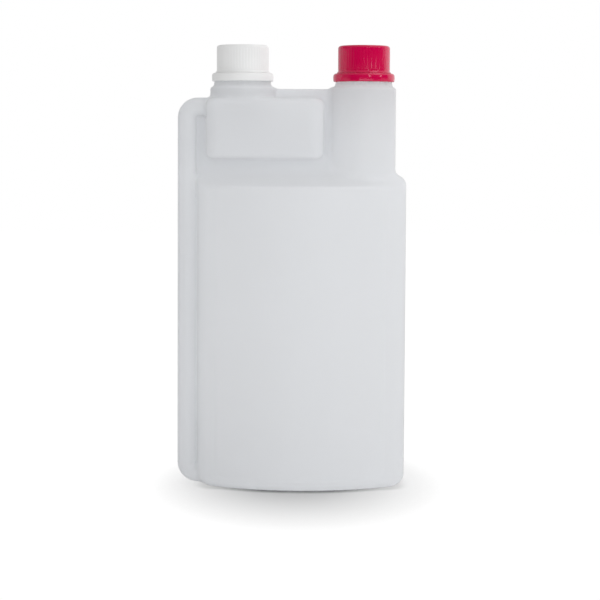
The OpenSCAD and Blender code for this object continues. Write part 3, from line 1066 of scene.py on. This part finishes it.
def make_floor():
    """White floor: it keeps the bottle's shadow close by and fades to plain white away from it. Painted
    shade darkens it in the crevice under the base edge.
    """
    side, front, back = FLOOR_REACH
    corners = [(-side, -front, 0), (side, -front, 0), (side, back, 0), (-side, back, 0)]
    floor = new_object("floor", corners, [(0, 1, 2, 3)])
    material, tree, shader = principled("floor")
    grain = add_noise(tree, object_place(tree), FLOOR_SCALE)
    tree.links.new(tint(tree, grain, *FLOOR_THROWS), shader.inputs["Base Color"])
    shader.inputs["Roughness"].default_value = FLOOR_ROUGH
    shader.inputs["Specular IOR Level"].default_value = 0.0
    near = tree.nodes.new("ShaderNodeBsdfDiffuse")
    white = tree.nodes.new("ShaderNodeEmission")
    white.inputs["Strength"].default_value = FLOOR_WHITE
    axes = tree.nodes.new("ShaderNodeSeparateXYZ")
    tree.links.new(object_place(tree), axes.inputs["Vector"])
    x_mm = calculate(tree, "MULTIPLY_ADD", axes.outputs["X"], 1 / MM, -SHADOW_MID)
    y_mm = calculate(tree, "MULTIPLY", axes.outputs["Y"], 1 / MM)
    x_share = calculate(tree, "DIVIDE", x_mm, SHADOW_X)
    y_share = calculate(tree, "DIVIDE", y_mm, SHADOW_Y)
    away = smooth_range(tree, length_of(tree, x_share, y_share), *SHADOW_FADE)
    away.node.interpolation_type = "LINEAR"
    seen = mix_by(tree, away, near.outputs[0], white.outputs[0])

    # Painted shade in the crevice under the round base edge, darkest inside the body's outline: how far a
    # place lies inside that outline
    x_in = calculate(tree, "MULTIPLY_ADD", axes.outputs["X"], 1 / MM, -BODY_X)
    x_in = calculate(tree, "ABSOLUTE", x_in)
    bow = calculate(tree, "MINIMUM", calculate(tree, "DIVIDE", x_in, CORNER_X), 1.0)
    bow = calculate(tree, "MULTIPLY", bow, bow)
    y_in = calculate(tree, "MULTIPLY_ADD", bow, BODY_BOW, calculate(tree, "ABSOLUTE", y_mm))
    past_x = calculate(tree, "SUBTRACT", x_in, BODY_HALF - CORNER_R)
    past_x = calculate(tree, "MAXIMUM", past_x, 0.0)
    past_y = calculate(tree, "SUBTRACT", y_in, BODY_D / 2 - CORNER_R)
    past_y = calculate(tree, "MAXIMUM", past_y, 0.0)
    start, end = (CORNER_R + outwards for outwards in PAINTED_CREVICE_SHADE)
    painted_shade = smooth_range(tree, length_of(tree, past_x, past_y), start, end)
    # bright is the plain floor colour, and deep is the painted shade where the crevice is darkest
    bright, deep = (FLOOR_SEEN,) * 3, (FLOOR_SEEN * PAINTED_CREVICE_LEVEL,) * 3
    tree.links.new(tint(tree, painted_shade, bright, deep), near.inputs["Color"])
    camera_ray = tree.nodes.new("ShaderNodeLightPath").outputs["Is Camera Ray"]
    whole = mix_by(tree, camera_ray, shader.outputs[0], seen)
    tree.links.new(whole, tree.nodes["Material Output"].inputs["Surface"])
    floor.data.materials.append(material)


def add_lamp(name, place_mm, aim_mm, size_mm, power, color):
    data = bpy.data.lights.new(name, "AREA")
    data.shape = "RECTANGLE"
    data.size = size_mm[0] * MM
    data.size_y = size_mm[1] * MM
    data.energy = power
    data.color = color
    lamp = bpy.data.objects.new(name, data)
    bpy.context.scene.collection.objects.link(lamp)
    lamp.location = Vector(place_mm) * MM
    way = Vector(aim_mm) - Vector(place_mm)
    lamp.rotation_euler = way.to_track_quat("-Z", "Y").to_euler()


def make_camera():
    data = bpy.data.cameras.new("camera")
    data.sensor_fit = "HORIZONTAL"
    data.sensor_width = SENSOR_MM
    data.lens = CAMERA_FOCAL_PX * SENSOR_MM / IMAGE_PX
    camera = bpy.data.objects.new("camera", data)
    bpy.context.scene.collection.objects.link(camera)
    turn = Matrix.Rotation(math.radians(CAMERA_YAW), 4, "Z")
    tilt = Matrix.Rotation(math.radians(90 - CAMERA_PITCH), 4, "X")
    roll = Matrix.Rotation(math.radians(CAMERA_ROLL), 4, "Z")
    camera.matrix_world = Matrix.Translation(Vector(CAMERA_PLACE) * MM) @ turn @ tilt @ roll
    bpy.context.scene.camera = camera


make_world()
make_floor()
for lamp in LAMPS:
    add_lamp(*lamp)
make_camera()
bpy.context.scene.view_settings.view_transform = "Standard"
